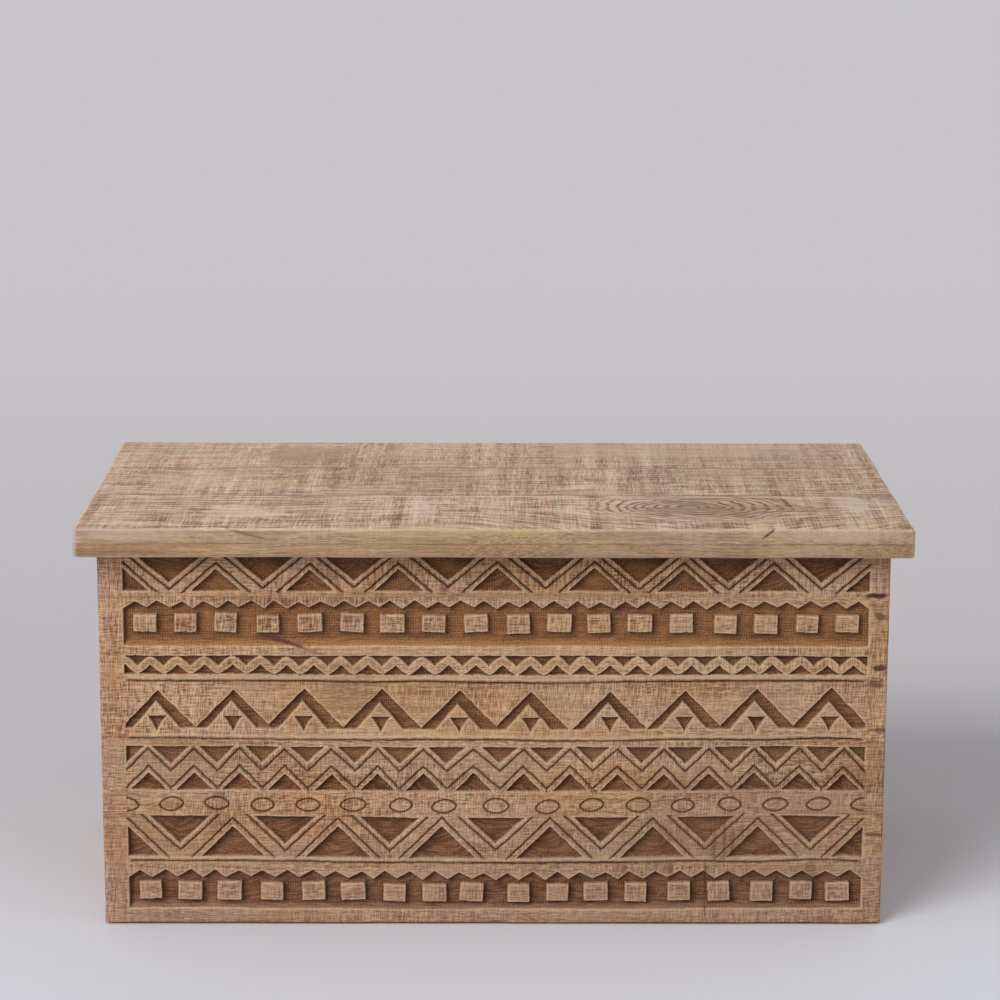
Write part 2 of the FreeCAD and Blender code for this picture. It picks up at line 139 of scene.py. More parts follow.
# Unevenness that comes more than once: step and size, after a seed of its own
SILL_WAVES = (60.0, 0.7)
SILL_NICKS = (9.0, 0.25)
BLOCK_NICKS = (5.0, 0.3)
SCRIBE_WAVES = (70.0, 1.3)
SCRIBE_NICKS = (6.0, 0.3)
SCRIBE_FORCE = (40.0, 0.6)


# Unevenness
def ease(t):
    """A smooth step: 3t^2 - 2t^3 between 0 and 1, level outside."""
    t = np.clip(t, 0.0, 1.0)
    return t * t * (3 - 2 * t)


def wander(along, seed, step, size):
    """A hand-cut line: random offsets every step millimetres, joined by smooth steps."""
    knots = np.random.default_rng(seed).uniform(-size, size, LATTICE)
    place = along / step + LATTICE / 2
    low = np.floor(place).astype(int)
    share = ease(place - low)
    return knots[low % LATTICE] * (1 - share) + knots[(low + 1) % LATTICE] * share


def mottle(a, b, seed, step, size):
    """An uneven surface: random heights on a square lattice, eased between its four corners."""
    knots = np.random.default_rng(seed).uniform(-size, size, (LATTICE, LATTICE))
    i = np.floor(a / step).astype(int)
    j = np.floor(b / step).astype(int)
    s = ease(a / step - i)
    t = ease(b / step - j)
    low = knots[i % LATTICE, j % LATTICE] * (1 - s) + knots[(i + 1) % LATTICE, j % LATTICE] * s
    high = knots[i % LATTICE, (j + 1) % LATTICE] * (1 - s) + knots[(i + 1) % LATTICE, (j + 1) % LATTICE] * s
    return low * (1 - t) + high * t


def loose(rng, size, count):
    """Random offsets of up to the given size, one for each of a row's shapes."""
    return rng.uniform(-size, size, count)


# Carving: distances are in millimetres on the front, below 0 inside a cut
def spread(count, shift, drift):
    """Centres of a repeat: an even pitch along the field, each moved by its hand-cut drift."""
    pitch = (FIELD_RIGHT - FIELD_LEFT) / count
    centres = FIELD_LEFT + (np.arange(count + (shift == 0)) + shift) * pitch
    drift = np.asarray(drift, float)
    start = (len(centres) - len(drift)) // 2
    centres[start:start + len(drift)] += drift
    return centres


def halfway(centres):
    """Places midway between neighbouring centres."""
    return (centres[1:] + centres[:-1]) / 2


def nearest(x, centres):
    """Offset from the nearest centre and that centre's number."""
    which = np.searchsorted(halfway(centres), x)
    return x - centres[which], which


def triangle_sides(x, u, centres, base, half, height):
    """How far outside the slanted sides, and how far behind the base line, of the nearest triangle.

    Triangles of a row differ in size by a few parts in a hundred.
    """
    off, which = nearest(x, centres)
    size = 1 + SIZE_STRAY * np.sin(SIZE_TURN * which + half)
    rise = (u - base) * np.sign(height)
    wide = half * size
    tall = abs(height) * size
    return (np.abs(off) * tall + (rise - tall) * wide) / np.hypot(wide, tall), -rise


def sunk_triangles(x, u, centres, base, half, height):
    """Distance to the nearest of a row of triangles: the larger of the side and base distances."""
    return np.maximum(*triangle_sides(x, u, centres, base, half, height))


def strap(x, u, row):
    """A raised zigzag between triangles from below and above, with a cut line beside each triangle."""
    centres = spread(row["repeats"], 0, row["drift"])
    pockets = []
    lines = []
    for middles, line, way, shape in ((centres, row["base"], 1, row["lower"]),
                                      (halfway(centres), row["top"], -1, row["upper"])):
        half, height, gap = shape
        sides, behind = triangle_sides(x, u, middles, line, half, way * height)
        pockets.append(np.maximum(sides, behind))
        lines.append(np.where(behind < GROOVE_HALF, sides - gap, FAR))
    return pockets, lines


def block_band(x, u, row):
    """A sunk band under a saw-tooth edge, less the uneven blocks left standing in it; and its lower edge."""
    rng = np.random.default_rng(row["seed"])
    ends = np.linspace(FIELD_LEFT, FIELD_RIGHT, 2 * row["teeth"] + 1)
    places = ends + loose(rng, TOOTH_STRAY["along"], len(ends))
    heights = np.where(np.arange(len(ends)) % 2, row["notch"], row["tooth"])
    heights = heights + loose(rng, TOOTH_STRAY["rise"], len(ends))
    slope = np.hypot(1.0, (row["notch"] - row["tooth"]) / (ends[1] - ends[0]))
    saw = (u - np.interp(x, places, heights)) / slope
    centres = spread(BLOCKS, 0.5, row["drift"])
    off, which = nearest(x, centres)
    stray = {key: loose(rng, size, BLOCKS)[which] for key, size in BLOCK_STRAY.items()}
    turn = stray["turn"]
    rise = u - (row["low"] + row["high"]) / 2 - stray["rise"]
    wide = BLOCK_HALF + stray["wide"]
    tall = (row["high"] - row["low"]) / 2 + stray["tall"]
    nick = wander(x + 3 * u, row["seed"] + 4, *BLOCK_NICKS)
    block = np.maximum(np.abs(off + turn * rise) - wide, np.abs(rise - turn * off) - tall) + nick
    lower = row["base"] + wander(x, row["seed"], *SILL_WAVES) + wander(x, row["seed"] + 2, *SILL_NICKS) - u
    return np.maximum(saw, -block), lower


def ribbon_band(x, u):
    """A sunk band less a wavy strap: a zigzag middle line, rounded over its crests and under its troughs."""
    along = (x - FIELD_LEFT + wander(x, *RIBBON_DRIFT)) / RIBBON["pitch"]
    from_crest = 2 * np.abs(along - np.round(along))
    bend = RIBBON["round"]
    full = np.hypot(1.0, bend) - bend
    over = (np.hypot(from_crest, bend) - bend) / full
    under = 1 - (np.hypot(1 - from_crest, bend) - bend) / full
    crest, trough = RIBBON["over"]
    slope = np.hypot(1.0, 2 * (crest - trough) / RIBBON["pitch"])
    above = (crest + (trough - crest) * over - u) / slope
    crest, trough = RIBBON["under"]
    below = (u - crest - (trough - crest) * under) / slope
    ragged = wander(x, *RIBBON_NICKS)
    return np.minimum(np.maximum(above, u - RIBBON["top"]), np.maximum(below, RIBBON["base"] + ragged - u))


def chevron_row(x, u):
    """Bent bands with a pointed drop under each: its half width falls away faster than the way down.

    The inner edges stand a little to the left, so the right arms are the wider ones.
    """
    apexes = spread(CHEVRONS["repeats"], 0.5, CHEVRONS["drift"])
    outer = sunk_triangles(x, u, apexes, CHEVRONS["foot"], *CHEVRONS["outer"])
    inner = triangle_sides(x - CHEVRONS["lean"], u, apexes, CHEVRONS["foot"], *CHEVRONS["inner"])[0]
    rng = np.random.default_rng(HANGING["seed"])
    hanging = apexes + HANGING["shift"] + loose(rng, HANGING["stray"], len(apexes))
    off = nearest(x, hanging)[0]
    fall = HANGING["top"] - u
    down = np.clip(fall / HANGING["drop"], 0.0, 1.0)
    drop = HANGING["steep"] * (np.abs(off) - HANGING["half"] * (1 - down) ** HANGING["taper"])
    drop = np.maximum(drop, np.maximum(-fall, fall - HANGING["drop"]))
    return [np.maximum(outer, -inner), drop]


def zigzag_row(x, u):
    """Triangles from above and below, with two zigzag lines of unlike rise between them."""
    teeth = spread(ZIGZAG["repeats"], 0, ZIGZAG["drift"])
    between = halfway(teeth)
    shape = ZIGZAG["half"], ZIGZAG["height"]
    pockets = [sunk_triangles(x, u, teeth, ZIGZAG["top"], shape[0], -shape[1])]
    pockets.append(sunk_triangles(x, u, between, ZIGZAG["base"], *shape))
    knots = np.sort(np.concatenate([teeth, between]))
    lines = []
    for valley, peak in ZIGZAG["lines"]:
        heights = np.where(np.arange(len(knots)) % 2, peak, valley)
        slope = np.hypot(1.0, (peak - valley) / (knots[1] - knots[0]))
        lines.append((u - np.interp(x, knots, heights)) / slope)
    return pockets, lines


def oval_row(x, u):
    """Cut ovals with slightly pointed ends: powers below two of the shares of half width and height, added.

    The root of that sum less one, over its steepness, is the way to the line.
    """
    ovals = spread(OVALS["repeats"], 0, OVALS["drift"])
    rng = np.random.default_rng(OVALS["seed"])
    off, which = nearest(x, ovals)
    stray = {key: loose(rng, size, len(ovals))[which] for key, size in OVALS["stray"].items()}
    rise = u - OVALS["up"] - stray["rise"] - off * stray["tilt"]
    wide = OVALS["wide"] + stray["wide"]
    tall = OVALS["tall"] + stray["tall"]
    power = OVALS["power"]
    across = np.abs(off / wide) + OVAL_CORE
    along = np.abs(rise / tall) + OVAL_CORE
    far = (across ** power + along ** power) ** (1 / power)
    steep = np.hypot(across ** (power - 1) / wide, along ** (power - 1) / tall) * far ** (1 - power)
    return OVALS["thin"] * (far - 1.0) / steep


def unsag(x, u):
    """Heights in the drawing of the rows: cut rows hang a few millimetres in the middle, by a bell curve."""
    return u + np.interp(u, SAG_HEIGHTS, SAG) * np.exp(-(x / SAG_WIDTH) ** 2)


def carve(x, u):
    """All rows: the distance to the sunk shapes, the way up from their ledges, the distance to cut lines."""
    u = unsag(x, u)
    outside = np.maximum(FIELD_LEFT - x, x - FIELD_RIGHT)
    nicked = x + mottle(x, u, *EDGE_NICKS)
    waved = u + wander(x, *ROW_WAVES) + mottle(x, u, *ROW_NICKS)
    pockets = [ribbon_band(nicked, waved)] + chevron_row(nicked, u + mottle(x, u, *CHEVRON_NICKS))
    lines = [oval_row(x, u)]
    ledge = np.full_like(x, FAR)
    rows = [strap(nicked, waved, TOP_STRAP), strap(nicked, waved, LOWER_STRAP), zigzag_row(nicked, waved)]
    for sunk, cut in rows:
        pockets += sunk
        lines += cut
    for row in (TOP_BLOCKS, LOWER_BLOCKS):
        band, lower = block_band(x, u, row)
        sunk = np.maximum(band, lower)
        pockets.append(sunk)
        ledge = np.where(sunk < 0, -lower, ledge)
    pocket = np.maximum(np.min(pockets, axis=0), outside)
    stack = np.array(lines)
    line = np.take_along_axis(stack, np.argmin(np.abs(stack), axis=0)[None], 0)[0]
    return pocket, ledge, np.where(outside > 0, FAR, line)


def scribed(x, u):
    """Depth of the scribed lines, with a steep lower and a worn upper side, and the pale lip over each."""
    u = unsag(x, u)
    depth = np.zeros_like(x)
    lip = np.zeros_like(x)
    inside = ease((FIELD_RIGHT - x) / SCRIBED["ends"]) * ease((x - FIELD_LEFT) / SCRIBED["ends"])
    for seed, up in enumerate(SCRIBED["up"], SCRIBED["seed"]):
        above = u - up - wander(x, seed, *SCRIBE_WAVES) - wander(x, seed + 5, *SCRIBE_NICKS)
        strength = SCRIBED["depth"] + wander(x, seed + 9, *SCRIBE_FORCE)
        steep = np.clip(1 + above / SCRIBED["below"], 0, 1)
        profile = np.where(above < 0, steep, np.exp(-above / SCRIBED["above"]))
        depth = np.maximum(depth, strength * profile)
        lip = np.maximum(lip, np.exp(-((above - SCRIBED["lip"]) / SCRIBED["lip_half"]) ** 2))
    return depth * inside, lip * inside


def front_grid():
    """Grid lines over the front that also lie on the seams of the staves; points slide onto the cut edges.

    A point less than half a cell from a cut's rim, its foot or a cut line moves there along the slope of
    the distance, so that the cuts have clean edges.
    """
    columns = np.linspace(-HALF_WIDTH, HALF_WIDTH, int(2 * HALF_WIDTH / GRID) + 1)
    parts = [np.linspace(low, high, int((high - low) / GRID) + 1)[:-1] for low, high in zip(SEAMS, SEAMS[1:])]
    rows = np.concatenate(parts + [SEAMS[-1:]])
    starts = np.cumsum([0] + [len(part) for part in parts])
    x, u = np.meshgrid(columns, rows)
    pocket, _, line = carve(x, u)
    to_edge = np.where(pocket > -WALL / 2, pocket, pocket + WALL)
    on_line = (np.abs(line) < GRID / 2) & (pocket > 2 * GRID)
    gap = np.where(on_line, line, to_edge)
    slopes = np.where(on_line, np.gradient(line, rows, columns), np.gradient(pocket, rows, columns))
    square = np.maximum((slopes ** 2).sum(0), LEAST_SLOPE)
    moves = np.clip(-gap * slopes / square, -GRID / 2, GRID / 2)
    move_u, move_x = np.where(np.abs(gap) < GRID / 2, moves, 0.0)
    move_x[:, [0, -1]] = 0.0
    move_u[starts] = 0.0
    return x + move_x, u + move_u, starts


def carved_surface(x, u):
    """Depth of the front at every grid point, with masks for its floors, ledges, cut lines and worn rims.

    The corner mask holds painted shade on the floors close under the upper and left edges of the cuts.
    """
    pocket, ledge, line = carve(x, u)
    floor = np.clip(-pocket / WALL, 0.0, 1.0)
    slope = np.clip((ledge + LEDGE_START) / LEDGE, 0.0, 1.0)
    rough = FLOOR_ROUGH + mottle(x, u, *FLOOR_FINE) + mottle(x, u, *FLOOR_BROAD)
    sunk = floor * slope * (POCKET_DEPTH - rough)
    groove = np.clip(1 - np.abs(line) / GROOVE_HALF, 0.0, 1.0) * (pocket > 0)
    worn = np.exp(-(np.maximum(pocket, 0.0) / WORN_REACH) ** 2) * WORN_DEPTH
    scratch, lip = scribed(x, u)
    depth = np.maximum(np.maximum(sunk, groove * GROOVE_DEPTH), scratch) + worn * (1 - floor)
    depth += FACE_SINK + mottle(x, u, *FACE_SWELL) * (1 - floor)
    edge = np.minimum(HALF_WIDTH - np.abs(x) + wander(u, *SIDE_WEAR), u + ARRIS_FOOT + wander(x, *FOOT_WEAR))
    bend = np.clip(1 - edge / ARRIS, 0.0, 1.0)
    depth = np.maximum(depth, ARRIS * (1 - np.sqrt(1 - bend ** 2)))
    cut = np.maximum(groove ** CUT_POWER, np.clip((scratch - SCRATCH_START) / SCRATCH_FULL, 0, 1))
    rim = np.maximum(np.exp(-((pocket - RIM_PLACE) / RIM_HALF) ** 2) * (pocket > RIM_PLACE - RIM_HALF), lip)
    # Painted shade: floors darken under the upper and left walls of the cuts, as if lit from the upper left
    slope_u, slope_x = np.gradient(pocket, u[:, 0], x[0])
    shade = CORNER_SHADE["level"] + CORNER_SHADE["up"] * slope_u + CORNER_SHADE["right"] * slope_x
    corner = floor * np.clip(shade, 0.0, 1.0) * np.exp(np.minimum(pocket, 0.0) / CORNER_SHADE["reach"])
    return depth, {"floor": floor, "ledge": floor * (1 - slope), "cut": cut, "rim": rim, "corner": corner}


# Pieces: board axes are along, across and through; a sway moves one axis by the other two and a step
X_BOARD = (0, 2, 1)
Y_BOARD = (1, 2, 0)
Z_BOARD = (2, 0, 1)
FLAT_X = (0, 1, 2)
FLAT_Y = (1, 0, 2)
SWAYS = ((2, 0, 1, 70.0), (1, 0, 2, 55.0), (0, 1, 2, 40.0))
CORNER_SHARES = np.array([0.0, 0.3, 0.65])
CAP_INSETS = np.array([1.0, 0.65, 0.3])
NO_LENGTH = 1e-9
SHARP_ANGLE = 32.0
PLACE_SPREAD = 5000.0
STAVE_SPREAD = (0.02, 0.1, 1.0)
STAVE_SEED = 61
BOARD_ROUND = (1.5, 2.2, 1.6)
BOARD_STEP = 9.0
BOARD_SWAY = 0.25
POST_ROUND = (1.5, 1.5, 1.5)
SEAM_ROUND = 0.8
LID_STEP = 7.0
LID_SWAY = 0.4


def set_out(name, data):
    """An object for a mesh, a light or a camera, put in the scene."""
    made = bpy.data.objects.new(name, data)
    bpy.context.scene.collection.objects.link(made)
    return made


def make_piece(name, points, faces, body, slot, nodes, place, masks):
    """A mesh from grid points and face lists, with its board coordinates and masks, set on its body."""
    mesh = bpy.data.meshes.new(name)
    mesh.from_pydata((points * MM).tolist(), [], faces)
    stored = mesh.attributes.new("board_place", "FLOAT_VECTOR", "POINT")
    stored.data.foreach_set("vector", (place * MM).astype(np.float32).ravel())
    for mask, values in masks.items():
        layer = mesh.attributes.new(mask, "FLOAT", "POINT")
        layer.data.foreach_set("value", np.asarray(values, np.float32).ravel())
    mesh.polygons.foreach_set("use_smooth", np.ones(len(mesh.polygons), bool))
    mesh.set_sharp_from_angle(angle=radians(SHARP_ANGLE))
    mesh.materials.append(MATERIALS[slot])
    piece = set_out(name, mesh)
    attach(piece, body)
    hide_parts(*nodes)


def grid_faces(number):
    """Four-sided faces between neighbouring grid points."""
    corners = [number[:-1, :-1], number[:-1, 1:], number[1:, 1:], number[1:, :-1]]
    return np.stack(corners, -1).reshape(-1, 4)


def carved_staves():
    """Each stave: its rows of the carved grid, closed by straight edges, two ends and a flat back."""
    x, u, starts = front_grid()
    depth, masks = carved_surface(x, u)
    y = FRONT_Y + depth
    rng = np.random.default_rng(STAVE_SEED)
    for node, first, last in zip(STAVE_NODES, starts, starts[1:]):
        rows = slice(first, last + 1)
        front = np.stack([x[rows], y[rows], CASE_BOTTOM + u[rows]], -1)
        points = np.pad(front, ((1, 1), (0, 0), (0, 0)), "edge")
        points[[0, -1], :, 1] = FRONT_BACK_Y
        index = np.arange(points[..., 0].size).reshape(points.shape[:2])
        back = np.stack([index[0, 1:], index[0, :-1], index[-1, :-1], index[-1, 1:]], -1)
        faces = grid_faces(index).tolist() + back.tolist() + [index[:, 0].tolist(), index[::-1, -1].tolist()]
        flat = points.reshape(-1, 3)
        place = flat[:, list(X_BOARD)] + loose(rng, PLACE_SPREAD, 3) * STAVE_SPREAD
        cuts = {key: np.pad(value[rows], ((1, 1), (0, 0))) for key, value in masks.items()}
        make_piece(node.replace("front", "carved"), flat, faces, "case", "carved_front", [node], place, cuts)


def marks(low, high, ease_low, ease_high, step):
    """Places along one side of a board: close together inside the eased corners, even between them."""
    inner = np.linspace(low + ease_low, high - ease_high, max(2, int((high - low) / step)))
    return np.concatenate([low + CORNER_SHARES * ease_low, inner, high - CORNER_SHARES[::-1] * ease_high])


def eased(points, low, high, round_low, round_high):
    """Rounds the corners of a box: inside the rounding a point's share of each side becomes a unit vector.

    Also gives how far each point lies in a rounding between two sides, for the wear on the arrises.
    """
    middle = (low + high) / 2
    upper = points > middle
    radius = np.where(upper, round_high, round_low)
    side = np.where(upper, high, low)
    share = np.clip(1 - np.abs(side - points) / radius, 0.0, 1.0)
    wear = np.sort(share, axis=-1)[..., 1]
    length = np.maximum(np.linalg.norm(share, axis=-1, keepdims=True), NO_LENGTH)
    share = share * share.max(-1, keepdims=True) / length
    return np.where(share > 0, side - np.sign(side - middle) * radius * (1 - share), points), wear


def board(name, node, body, slot, grain, seed, round_low=BOARD_ROUND, round_high=BOARD_ROUND,
          step=BOARD_STEP, sway=BOARD_SWAY):
    """A board: a squared outline carried along its grain, closed at both ends, eased and slightly uneven.

    grain orders the axes as along, across and through the board.
    """
    corner_low, corner_high = (np.array(corner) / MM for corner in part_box(node))
    low = corner_low[list(grain)]
    high = corner_high[list(grain)]
    round_low = np.asarray(round_low, float)
    round_high = np.asarray(round_high, float)
    across = marks(low[1], high[1], round_low[1], round_high[1], step)
    through = marks(low[2], high[2], round_low[2], round_high[2], step)
    loop = np.concatenate([
        np.stack([across, np.full_like(across, low[2])], -1)[:-1],
        np.stack([np.full_like(through, high[1]), through], -1)[:-1],
        np.stack([across[::-1], np.full_like(across, high[2])], -1)[:-1],
        np.stack([np.full_like(through, low[1]), through[::-1]], -1)[:-1],
    ])
    along = marks(low[0], high[0], round_low[0], round_high[0], step)
    cap = np.ones(len(CAP_INSETS))
    stations = np.concatenate([cap * low[0], along, cap * high[0]])
    inset = np.concatenate([CAP_INSETS, np.zeros(len(along)), CAP_INSETS[::-1]])[:, None]
    tight_low = low[1:] + inset[..., None] * round_low[1:]
    tight_high = high[1:] - inset[..., None] * round_high[1:]
    section = np.clip(loop[None], tight_low, tight_high)
    bar = np.concatenate([np.broadcast_to(stations[:, None, None], section.shape[:2] + (1,)), section], -1)
    shape, wear = eased(bar, low, high, round_low, round_high)
    for turn, (axis, a, b, pitch) in enumerate(SWAYS):
        shape[..., axis] += mottle(bar[..., a], bar[..., b], seed + turn, pitch, sway)
    points = np.empty_like(shape)
    points[..., list(grain)] = shape
    index = np.arange(shape[..., 0].size).reshape(shape.shape[:2])
    ring = np.concatenate([index, index[:, :1]], 1)
    faces = grid_faces(ring)
    turned = np.linalg.det(np.eye(3)[list(grain)]) > 0
    faces = (faces if turned else faces[:, ::-1]).tolist()
    closing = [(face[::-1] if turned else face).tolist() for face in (index[0], index[-1][::-1])]
    place = shape.reshape(-1, 3) + loose(np.random.default_rng(seed), PLACE_SPREAD, 3)
    end = np.zeros(shape.shape[:2])
    end[:len(cap) + 1] = 1.0
    end[-len(cap) - 1:] = 1.0
    make_piece(name, points.reshape(-1, 3), faces + closing, body, slot, [node], place,
               {"end_grain": end, "wear": wear})


def case_boards():
    """Walls, posts, floor and bearers, each at its own node."""
    walls = (("back", "sawn_case", X_BOARD, 100), ("floor", "inner_timber", FLAT_X, 110),
             ("left_side", "sawn_case", Y_BOARD, 120), ("right_side", "sawn_case", Y_BOARD, 130))
    for number in (1, 2, 3):
        for name, slot, grain, seed in walls:
            board(f"{name}_plank_{number}", f"{name}_board_{number}", "case", slot, grain, seed + number)
    for seed, side in enumerate(("front", "back", "left", "right"), 140):
        grain = X_BOARD if side in ("front", "back") else Y_BOARD
        board(f"bearer_strip_{side}", f"floor_bearer_{side}", "case", "inner_timber", grain, seed)
    for seed, end in enumerate(("front", "back"), 150):
        for side in ("left", "right"):
            board(f"post_{end}_{side}", f"corner_post_{end}_{side}", "case", "inner_timber", Z_BOARD,
                  seed + 5 * (side == "left"), POST_ROUND, POST_ROUND)


def lid_pieces():
    """Three thick planks with soft outer arrises and tight seams, and two battens below."""
    planks = (("front", 201, (5, 5, 2), (5, SEAM_ROUND, 4)),
              ("middle", 204, (5, SEAM_ROUND, 2), (5, SEAM_ROUND, 4)),
              ("rear", 207, (5, SEAM_ROUND, 2), (5, 3, 2.5)))
    for name, seed, low, high in planks:
        board(f"lid_plank_{name}", f"lid_board_{name}", "lid", "lid_planks", FLAT_X, seed, low, high,
              LID_STEP, LID_SWAY)
    for seed, side in ((211, "left"), (214, "right")):
        board(f"batten_{side}", f"lid_batten_{side}", "lid", "inner_timber", FLAT_Y, seed,
              (8.0, 1.5, 8.0), (8.0, 1.5, 1.0))


# Finishes
class Recipe:
    """A node tree written as calls: a value is either a number, a colour or another node's output."""

    def __init__(self, tree):
        self.tree = tree

    def node(self, kind, inputs, **settings):
        """A node with its settings and its inputs, given by name or number."""
        made = self.tree.nodes.new(kind)
        for key, value in settings.items():
            setattr(made, key, value)
        for key, value in inputs.items():
            if isinstance(value, bpy.types.NodeSocket):
                self.tree.links.new(value, made.inputs[key])
            else:
                made.inputs[key].default_value = value
        return made

    def sum(self, operation, a, b=0, c=0):
        """One step of arithmetic."""
        return self.node("ShaderNodeMath", {0: a, 1: b, 2: c}, operation=operation).outputs[0]

    def total(self, first, *others):
        """Values added together."""
        for other in others:
            first = self.sum("ADD", first, other)
        return first

    def times(self, first, *others):
        """Values multiplied together."""
        for other in others:
            first = self.sum("MULTIPLY", first, other)
        return first

    def less(self, value, amount):
        """One less so much of a value."""
        return self.sum("MULTIPLY_ADD", value, -amount, 1)

    def vector(self, operation, a, b):
        """One step of arithmetic on vectors."""
        return self.node("ShaderNodeVectorMath", {0: a, 1: b}, operation=operation).outputs[0]

    def split(self, place):
        """The three parts of a vector."""
        return self.node("ShaderNodeSeparateXYZ", {0: place}).outputs

    def joined(self, x, y, z):
        """A vector from its three parts."""
        return self.node("ShaderNodeCombineXYZ", {0: x, 1: y, 2: z}).outputs[0]

    def scaled(self, colour, amount):
        """A colour made lighter or darker."""
        return self.node("ShaderNodeVectorMath", {0: colour, "Scale": amount}, operation="SCALE").outputs[0]

    def mix(self, share, a, b, blend="MIX"):
        """Two colours mixed."""
        made = self.node("ShaderNodeMix", {0: share, 6: a, 7: b}, data_type="RGBA", blend_type=blend)
        return made.outputs[2]

    def between(self, value, low, high, start=0, end=1):
        """A value stretched from one range to another, held at the ends."""
        inputs = {0: value, 1: low, 2: high, 3: start, 4: end}
        return self.node("ShaderNodeMapRange", inputs, interpolation_type="SMOOTHSTEP").outputs[0]

    def fade(self, value, low, high):
        """1 up to the low value, falling to 0 at the high one."""
        return self.between(value, low, high, 1, 0)

    def noise(self, place, stretch, detail=2, rough=0.5):
        """Cloudy noise of so many features per metre along each axis."""
        inputs = {"Vector": self.vector("MULTIPLY", place, stretch), "Scale": 1, "Detail": detail}
        inputs["Roughness"] = rough
        return self.node("ShaderNodeTexNoise", inputs).outputs["Fac"]

    def unrest(self, place, stretch, detail=2, rough=0.5):
        """Cloudy noise about zero."""
        return self.sum("SUBTRACT", self.noise(place, stretch, detail, rough), 0.5)

    def crisp(self, place, stretch):
        """Clear-edged streaks about zero."""
        return self.sum("SUBTRACT", self.between(self.noise(place, stretch, 0), 0.38, 0.62), 0.5)

    def mask(self, name):
        """A value stored on the piece."""
        return self.node("ShaderNodeAttribute", {}, attribute_name=name).outputs["Fac"]

    def board_place(self):
        """The place along, across and through the board."""
        return self.node("ShaderNodeAttribute", {}, attribute_name="board_place").outputs["Vector"]

    def here(self):
        """The place on the chest, in metres."""
        return self.node("ShaderNodeTexCoord", {}).outputs["Object"]


def group(name, inputs, outputs):
    """An empty node group with named sockets, as (tree, recipe, its inputs, its output node)."""
    tree = bpy.data.node_groups.new(name, "ShaderNodeTree")
    for label, kind in inputs:
        tree.interface.new_socket(name=label, in_out="INPUT", socket_type=kind)
    for label, kind in outputs:
        tree.interface.new_socket(name=label, in_out="OUTPUT", socket_type=kind)
    given = tree.nodes.new("NodeGroupInput").outputs
    result = tree.nodes.new("NodeGroupOutput")
    return tree, Recipe(tree), given, result


VECTOR = "NodeSocketVector"
COLOUR = "NodeSocketColor"
VALUE = "NodeSocketFloat"
SAW_SLANT = 3
SHEEN = 0.25
RELIEF = 0.0006
FINE_RELIEF = 0.0001


def sawn_wood():
    """Sawn timber: bent grain along the board, warm patches, and strokes and bands left by the saw."""
    inputs = [("Place", VECTOR)]
    inputs += [(label, COLOUR) for label in ("Pale", "Deep", "Wash", "Warm")]
    inputs += [(label, VALUE) for label in ("Grain", "Fibre", "Lines", "Weave", "Ribs", "Saw")]
    tree, r, given, result = group("sawn_wood", inputs, (("Color", COLOUR), ("Height", VALUE)))
    place = given["Place"]
    sway = r.times(r.unrest(place, (2, 6, 6)), 0.022)
    bent = r.vector("ADD", place, r.joined(0, sway, sway))
    slant = r.node("ShaderNodeMapping", {"Vector": place, "Rotation": (0, 0, radians(SAW_SLANT))}).outputs[0]
    broad = r.unrest(bent, (2.6, 50, 50), 3, 0.6)
    middle = r.unrest(bent, (12, 190, 190), 2, 0.6)
    lines = r.total(r.times(r.crisp(bent, (14, 480, 480)), 0.72),
                    r.times(r.crisp(bent, (36, 1300, 1300)), 0.6))
    fibres = r.crisp(bent, (120, 860, 860))
    grain = r.total(r.times(broad, 0.55), r.times(middle, 0.3))
    worn = r.between(r.noise(place, (9, 16, 16)), 0.38, 0.62, 0.42, 1)
    grain = r.total(r.times(grain, given["Grain"]), r.times(lines, given["Lines"]),
                    r.times(fibres, worn, given["Fibre"]))
    patch = r.between(r.noise(place, (7, 17, 17)), 0.38, 0.62, 0.42, 1)
    sawn = r.times(patch, given["Saw"])
    weave = r.crisp(slant, (860, 80, 80))
    strokes = r.crisp(slant, (330, 10, 15))
    ribs = r.unrest(slant, (85, 6, 14), 2, 0.55)
    strokes = r.total(r.times(weave, given["Weave"]), r.times(strokes, 0.14), r.times(ribs, given["Ribs"]))
    strokes = r.times(strokes, sawn)
    tone = r.unrest(place, (2.4, 11, 11), 1)
    share = r.total(grain, strokes, r.times(tone, 0.5))
    share = r.node("ShaderNodeClamp", {0: r.sum("ADD", share, 0.47)}).outputs[0]
    colour = r.mix(share, given["Pale"], given["Deep"])
    warm = r.between(r.noise(bent, (6, 15, 15), 1), 0.42, 0.62, 0, 0.85)
    colour = r.mix(warm, colour, r.mix(1, colour, given["Warm"], "MULTIPLY"))
    band = r.between(r.noise(slant, (30, 2.6, 6), 3, 0.6), 0.46, 0.58)
    colour = r.mix(r.times(band, sawn), colour, r.mix(1, colour, given["Wash"], "MULTIPLY"))
    height = r.total(r.times(fibres, -0.35), r.times(strokes, -0.8), r.times(lines, -0.25))
    tree.links.new(colour, result.inputs["Color"])
    tree.links.new(height, result.inputs["Height"])
    return tree


def smudge():
    """A soft-edged spot: 1 at its centre, 0 from its half sizes on, with an uneven border; it may lean."""
    inputs = (("Place", VECTOR), ("Centre", VECTOR), ("Size", VECTOR), ("Lean", VALUE))
    tree, r, given, result = group("smudge", inputs, (("Mask", VALUE),))
    off = r.vector("SUBTRACT", given["Place"], given["Centre"])
    fall = r.times(r.split(off)[0], given["Lean"])
    off = r.vector("DIVIDE", r.vector("ADD", off, r.joined(0, fall, fall)), given["Size"])
    length = r.node("ShaderNodeVectorMath", {0: off}, operation="LENGTH").outputs["Value"]
    rough = r.unrest(given["Place"], (90, 90, 90), 3)
    mask = r.fade(r.sum("MULTIPLY_ADD", rough, 1.4, length), 0.4, 1)
    tree.links.new(mask, result.inputs["Mask"])
    return tree


